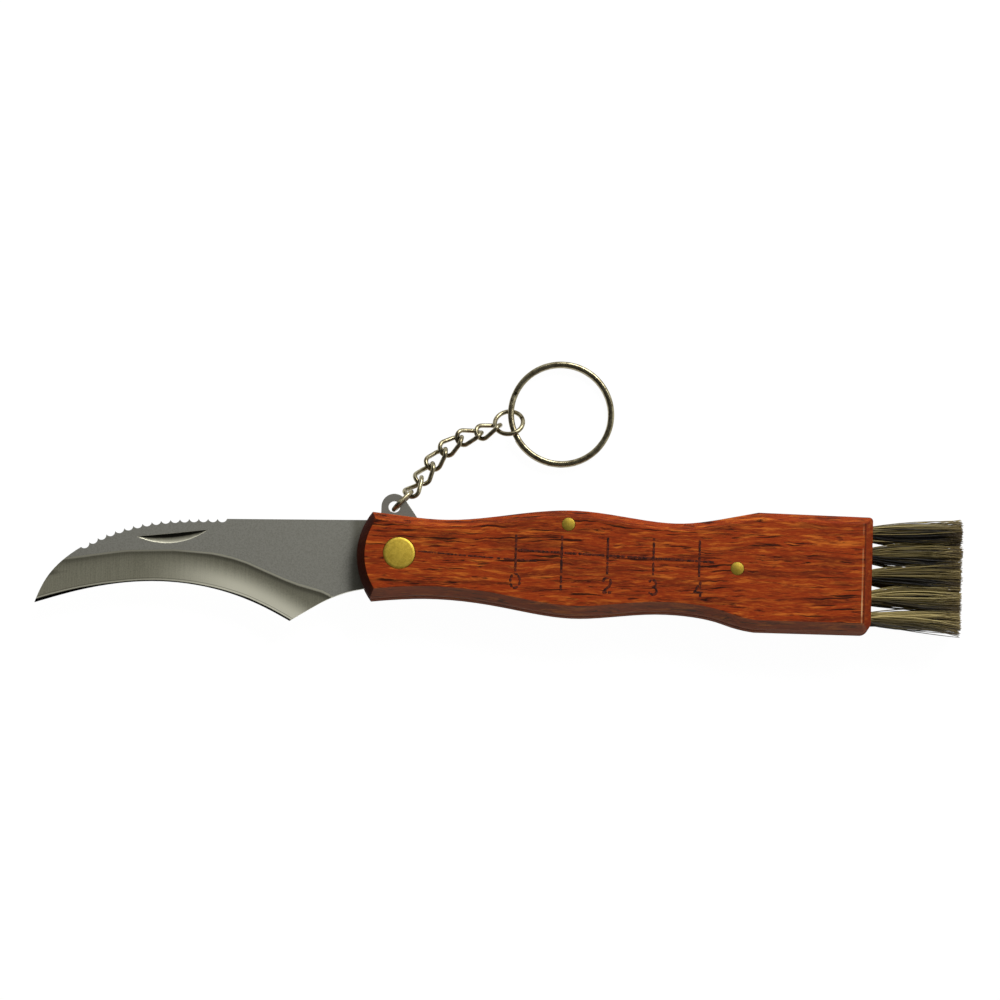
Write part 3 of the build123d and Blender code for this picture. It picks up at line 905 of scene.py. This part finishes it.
def splitRingRecipe(inputs):
    # flat wire in two turns, one on the other, with a climb between them
    recipe = Recipe("splitRing", inputs)
    given = recipe.given
    number = recipe.node("GeometryNodeInputIndex")
    share = number / (given["Steps"] - 1)
    first = given["Climb end"] - 2 * math.pi
    last = given["Climb start"] + 2 * math.pi
    angle = first + share * (last - first)
    climbed = recipe.node("ShaderNodeMapRange", None,
                          {"Value": angle, "From Min": given["Climb start"], "From Max": given["Climb end"]})
    level = climbed * (given["Wire height"] + given["Wire gap"]) + given["Wire height"] / 2
    radius = given["Middle radius"]
    spot = recipe.vector(angle.cos() * radius, angle.sin() * radius, level)
    dots = recipe.node("GeometryNodePoints", None, {"Count": given["Steps"]})
    placed = recipe.node("GeometryNodeSetPosition", None, {"Geometry": dots, "Position": spot})
    path = recipe.node("GeometryNodePointsToCurves", None, {"Points": placed})
    upright = recipe.node("GeometryNodeSetCurveNormal", {"mode": "Z_UP"}, {"Curve": path})
    flat = recipe.node("GeometryNodeCurvePrimitiveQuadrilateral", None,
                       {"Width": given["Wire width"], "Height": given["Wire height"]})
    section = recipe.node("GeometryNodeFilletCurve", {"mode": "POLY"},
                          {"Curve": flat, "Radius": given["Rounding"], "Count": 4})
    wire = recipe.node("GeometryNodeCurveToMesh", None,
                       {"Curve": upright, "Profile Curve": section, "Fill Caps": True})
    recipe.finish(wire, wornNickel)
    return recipe


def splitRingFrame():
    # its near end is lifted onto the jump ring, and its far end lies on the table
    sizes = ringSizes
    jumpCentre = frames[-1].translation / mm
    heading = math.radians(sizes["heading"] + 180)
    tilt = math.asin(sizes["nearLift"] / sizes["diameter"])
    away = (sizes["diameter"] - sizes["wireWidth"]) / 2 + sizes["offset"]
    near = Vector((math.cos(heading) * math.cos(tilt), math.sin(heading) * math.cos(tilt), math.sin(tilt)))
    side = Vector((-math.sin(heading), math.cos(heading), 0))
    up = near.cross(side)
    east = near * math.cos(-heading) + side * math.sin(-heading)
    centre = jumpCentre - Vector((math.cos(heading), math.sin(heading), 0)) * away
    centre.z = sizes["nearLift"] / 2
    turned = Matrix((east, up.cross(east), up)).transposed().to_4x4()
    return Matrix.Translation(centre * mm) @ turned


ringInputs = {
    "Middle radius": (ringSizes["diameter"] - ringSizes["wireWidth"]) / 2 * mm,
    "Wire width": ringSizes["wireWidth"] * mm,
    "Wire height": ringSizes["wireHeight"] * mm,
    "Wire gap": ringSizes["wireGap"] * mm,
    "Rounding": ringSizes["rounding"] * mm,
    "Climb start": math.radians(ringSizes["climbStart"]),
    "Climb end": math.radians(ringSizes["climbEnd"]),
    "Steps": 260,
}
splitRing = splitRingRecipe(ringInputs).make("splitRingWire", ringInputs)
splitRing.data.transform(splitRingFrame())
splitRing.data.set_sharp_from_angle(angle=math.radians(50))
settle(splitRing, "split_ring", "chain_metal", "split_ring")
print("chain and rings made")


# Brush: ten tufts of bristle in two rows

brushSizes = {
    "rear": 103.1,
    "sunk": 1.0,
    "middle": -1.55,
    "level": 7.25,
    "columns": 5,
    "rows": 2,
    "columnPitch": 4.66,
    "rowPitch": 5.8,
    "tuftRadius": 1.28,
    "length": 20.0,
    "bristleRadius": 0.105,
    "bristlesPerTuft": 170,
    "spread": 1.85,
    "depthSpread": 1.95,
    "trim": 0.045,
    "bow": 0.7,
    "stray": 1.5,
    "taper": 0.45,
    "seed": 7,
}
goldenTurn = 2.399963


def brushRecipe(inputs):
    # bristles from round holes, opening towards a flat trimmed end
    recipe = Recipe("brushTufts", inputs)
    given = recipe.given
    columns = brushSizes["columns"]

    def chance(low, high, salt, group):
        # one random number for each group, from the node's number sockets
        node = recipe.tree.nodes.new("FunctionNodeRandomValue")
        node.data_type = "FLOAT"
        node.inputs[2].default_value = low
        node.inputs[3].default_value = high
        recipe.tree.links.new(group.socket, node.inputs["ID"])
        recipe.tree.links.new((given["Seed"] + salt).socket, node.inputs["Seed"])
        return Wire(recipe, node.outputs[1])

    def keep(geometry, name, value):
        # stores a number on each point under a name
        return recipe.node("GeometryNodeStoreNamedAttribute", {"data_type": "FLOAT", "domain": "POINT"},
                           {"Geometry": geometry, "Name": name, "Value": value})

    # which bristle, tuft and place in the tuft a point belongs to
    number = recipe.node("GeometryNodeInputIndex")
    strand = (number / given["Steps"]).floor()
    step = number % given["Steps"]
    along = step / (given["Steps"] - 1)
    tuft = (strand / given["Bristles"]).floor()
    inTuft = strand % given["Bristles"]
    row = (tuft / columns).floor()
    column = tuft % columns
    reach = ((inTuft + 0.5) / given["Bristles"]).root() * given["Tuft radius"]
    turn = inTuft * goldenTurn
    rootY = reach * turn.cos()
    rootZ = reach * turn.sin()
    centreY = given["Middle"] + ((columns - 1) / 2 - column) * given["Column pitch"]
    centreZ = given["Level"] + ((brushSizes["rows"] - 1) / 2 - row) * given["Row pitch"]
    sector = (turn / 0.9).floor() % 7
    clump = tuft * 31 + sector * 4 + (inTuft / given["Bristles"] * 3).floor()

    # length, bow and stray differ from bristle to bristle and from clump to clump
    trimmed = chance(0.0, 0.6, 1, strand) + chance(0.0, 0.4, 7, clump)
    length = given["Length"] * (1 - trimmed * given["Trim"])
    bowY = chance(-1.0, 1.0, 2, strand) * given["Bow"]
    bowZ = chance(-1.0, 1.0, 3, strand) * given["Bow"]
    clumpY = chance(-1.0, 1.0, 4, clump) * given["Stray"]
    clumpBow = chance(-1.0, 1.0, 8, clump) * given["Stray"]
    flare = along * 0.7 + (along * (math.pi / 2)).sin() * 0.3
    opened = 1 + (given["Spread"] - 1) * flare
    openedDeep = 1 + (given["Depth spread"] - 1) * along
    rowShare = 1 + 0.05 * along
    arc = along * (1 - along) * 4
    x = given["Rear"] - given["Sunk"] + (length + given["Sunk"]) * along
    y = given["Middle"] + (centreY - given["Middle"]) * rowShare + rootY * opened
    y = y + (bowY + clumpBow * 0.35) * arc + clumpY * along
    z = centreZ + rootZ * openedDeep + bowZ * arc
    tufts = columns * brushSizes["rows"]
    dots = recipe.node("GeometryNodePoints", None, {"Count": given["Bristles"] * tufts * given["Steps"]})
    spot = recipe.vector(x, y, z)
    placed = recipe.node("GeometryNodeSetPosition", None, {"Geometry": dots, "Position": spot})

    # painted light: the upper side of a tuft is a little paler, as if lit from above, and the clumps differ
    # most
    lit = rootY / given["Tuft radius"] * 0.13
    shade = chance(0.0, 0.38, 5, strand) + chance(0.0, 0.60, 6, clump) + chance(-0.03, 0.08, 9, tuft) + lit
    thick = (1 - along * along * given["Taper"]) * given["Bristle radius"]
    marked = keep(keep(keep(placed, "shade", shade), "along", along), "thick", thick)
    hairs = recipe.node("GeometryNodePointsToCurves", None,
                        {"Points": marked, "Curve Group ID": strand, "Weight": step})
    section = recipe.node("GeometryNodeCurvePrimitiveCircle", None,
                          {"Resolution": given["Sides"], "Radius": 1.0})
    width = recipe.node("GeometryNodeInputNamedAttribute", {"data_type": "FLOAT"}, {"Name": "thick"})
    stiff = recipe.node("GeometryNodeCurveToMesh", None, {
        "Curve": hairs, "Profile Curve": section, "Scale": width, "Fill Caps": True,
    })
    recipe.finish(stiff, stiffBristle)
    return recipe


brushInputs = {
    "Rear": brushSizes["rear"] * mm,
    "Sunk": brushSizes["sunk"] * mm,
    "Middle": brushSizes["middle"] * mm,
    "Level": brushSizes["level"] * mm,
    "Column pitch": brushSizes["columnPitch"] * mm,
    "Row pitch": brushSizes["rowPitch"] * mm,
    "Tuft radius": brushSizes["tuftRadius"] * mm,
    "Length": brushSizes["length"] * mm,
    "Bristle radius": brushSizes["bristleRadius"] * mm,
    "Bristles": brushSizes["bristlesPerTuft"],
    "Spread": brushSizes["spread"],
    "Depth spread": brushSizes["depthSpread"],
    "Trim": brushSizes["trim"],
    "Bow": brushSizes["bow"] * mm,
    "Stray": brushSizes["stray"] * mm,
    "Taper": brushSizes["taper"],
    "Steps": 7,
    "Sides": 4,
    "Seed": brushSizes["seed"],
}
brush = brushRecipe(brushInputs).make("brushBristles", brushInputs)
tuftNodes = [name for name in nodes if name.startswith("tuft_")]
settle(brush, "handle", "bristle", *tuftNodes)
print("brush made:", len(brush.data.polygons), "faces")


# Floor, light and camera

stageLook = {
    "floorHalf": 3.0,
    "floorLevel": -0.00005,
    "floorMatte": 0.42,
    "floorGlow": 0.85,
    "glowStrength": 1.15,
    "ceiling": 0.08,
    "window": 1.0,
    "nearSide": 0.03,
    "sweep": 0.62,
}


def makeFloor():
    # pale to the camera, to reflections and through glass, and matte for the shadow
    look = stageLook
    half = look["floorHalf"]
    mesh = bpy.data.meshes.new("floor")
    corners = [(-half, -half), (half, -half), (half, half), (-half, half)]
    mesh.from_pydata([(x, y, look["floorLevel"]) for x, y in corners], [], [(0, 1, 2, 3)])
    material = bpy.data.materials.new("paleFloor")
    material.use_nodes = True
    material.node_tree.nodes.clear()
    graph = Graph(material.node_tree)
    path = graph.node("ShaderNodeLightPath", output="Is Camera Ray")
    seen = path.most(graph.other(path, "Is Glossy Ray")).most(graph.other(path, "Is Transmission Ray"))
    matte = graph.node("ShaderNodeBsdfDiffuse", None, {"Color": [look["floorMatte"]] * 3 + [1.0]})
    glow = graph.node("ShaderNodeEmission", None, {"Color": [1.0] * 4, "Strength": look["glowStrength"]})
    mixed = graph.node("ShaderNodeMixShader", None, {0: seen * look["floorGlow"], 1: matte, 2: glow})
    graph.node("ShaderNodeOutputMaterial", None, {"Surface": mixed})
    floor = newPiece("floor", mesh, material)


def makeWorld():
    # a dim ceiling, and a bright ring of windows below it, mostly behind the knife and to its right
    look = stageLook
    world = bpy.data.worlds.new("studio")
    bpy.context.scene.world = world
    world.use_nodes = True
    world.node_tree.nodes.clear()
    graph = Graph(world.node_tree)
    right, back, height = graph.parts(graph.node("ShaderNodeTexCoord", output="Generated"))
    ring = height.rise(0.0, 0.25) * height.fall(0.70, 0.95)
    side = (back * 0.65 + right * 0.60).rise(-0.15, 0.6) * (1 - look["nearSide"]) + look["nearSide"]
    sweep = height.fall(0.04, 0.28) * back.fall(-0.85, -0.35)
    strength = ring * side * look["window"] + sweep * look["sweep"] + look["ceiling"]
    light = graph.node("ShaderNodeBackground", None, {"Color": [1.0] * 4, "Strength": strength})
    graph.node("ShaderNodeOutputWorld", None, {"Surface": light})


keyLamp = {"place": (0.42, 0.70, 0.8), "target": (0.02, 0.01, 0), "size": 0.5, "power": 8.0}


def makeLamp(name, lampLook):
    lamp = bpy.data.lights.new(name, "AREA")
    lamp.shape = "SQUARE"
    lamp.size = lampLook["size"]
    lamp.energy = lampLook["power"]
    holder = bpy.data.objects.new(name, lamp)
    bpy.context.scene.collection.objects.link(holder)
    holder.location = lampLook["place"]
    ray = Vector(lampLook["target"]) - Vector(lampLook["place"])
    holder.rotation_euler = ray.to_track_quat("-Z", "Y").to_euler()


cameraView = {
    "target": (0.02163, 0.01222, 0.0145),
    "width": 0.2178,
    "distance": 1.5,
    "tilt": 6.0,
    "roll": 1.7,
    "sensor": 36,
}


def makeCamera():
    # looks nearly straight down, a little from the edge's side, with the handle's axis turned slightly
    view = cameraView
    tilt = math.radians(view["tilt"])
    roll = math.radians(view["roll"])
    back = Vector((0, -math.sin(tilt), math.cos(tilt)))
    level = Vector((0, math.cos(tilt), math.sin(tilt)))
    right = Vector((math.cos(roll), 0, 0)) + level * math.sin(roll)
    up = Vector((-math.sin(roll), 0, 0)) + level * math.cos(roll)
    camera = bpy.data.cameras.new("photoCamera")
    camera.sensor_fit = "HORIZONTAL"
    camera.sensor_width = view["sensor"]
    camera.lens = view["sensor"] * view["distance"] / view["width"]
    holder = bpy.data.objects.new("photoCamera", camera)
    bpy.context.scene.collection.objects.link(holder)
    turned = Matrix((right, up, back)).transposed().to_4x4()
    holder.matrix_world = Matrix.Translation(Vector(view["target"]) + back * view["distance"]) @ turned
    bpy.context.scene.camera = holder


makeFloor()
makeWorld()
makeLamp("keyLamp", keyLamp)
makeCamera()
bpy.context.scene.view_settings.view_transform = "Standard"
print("floor, light and camera made")
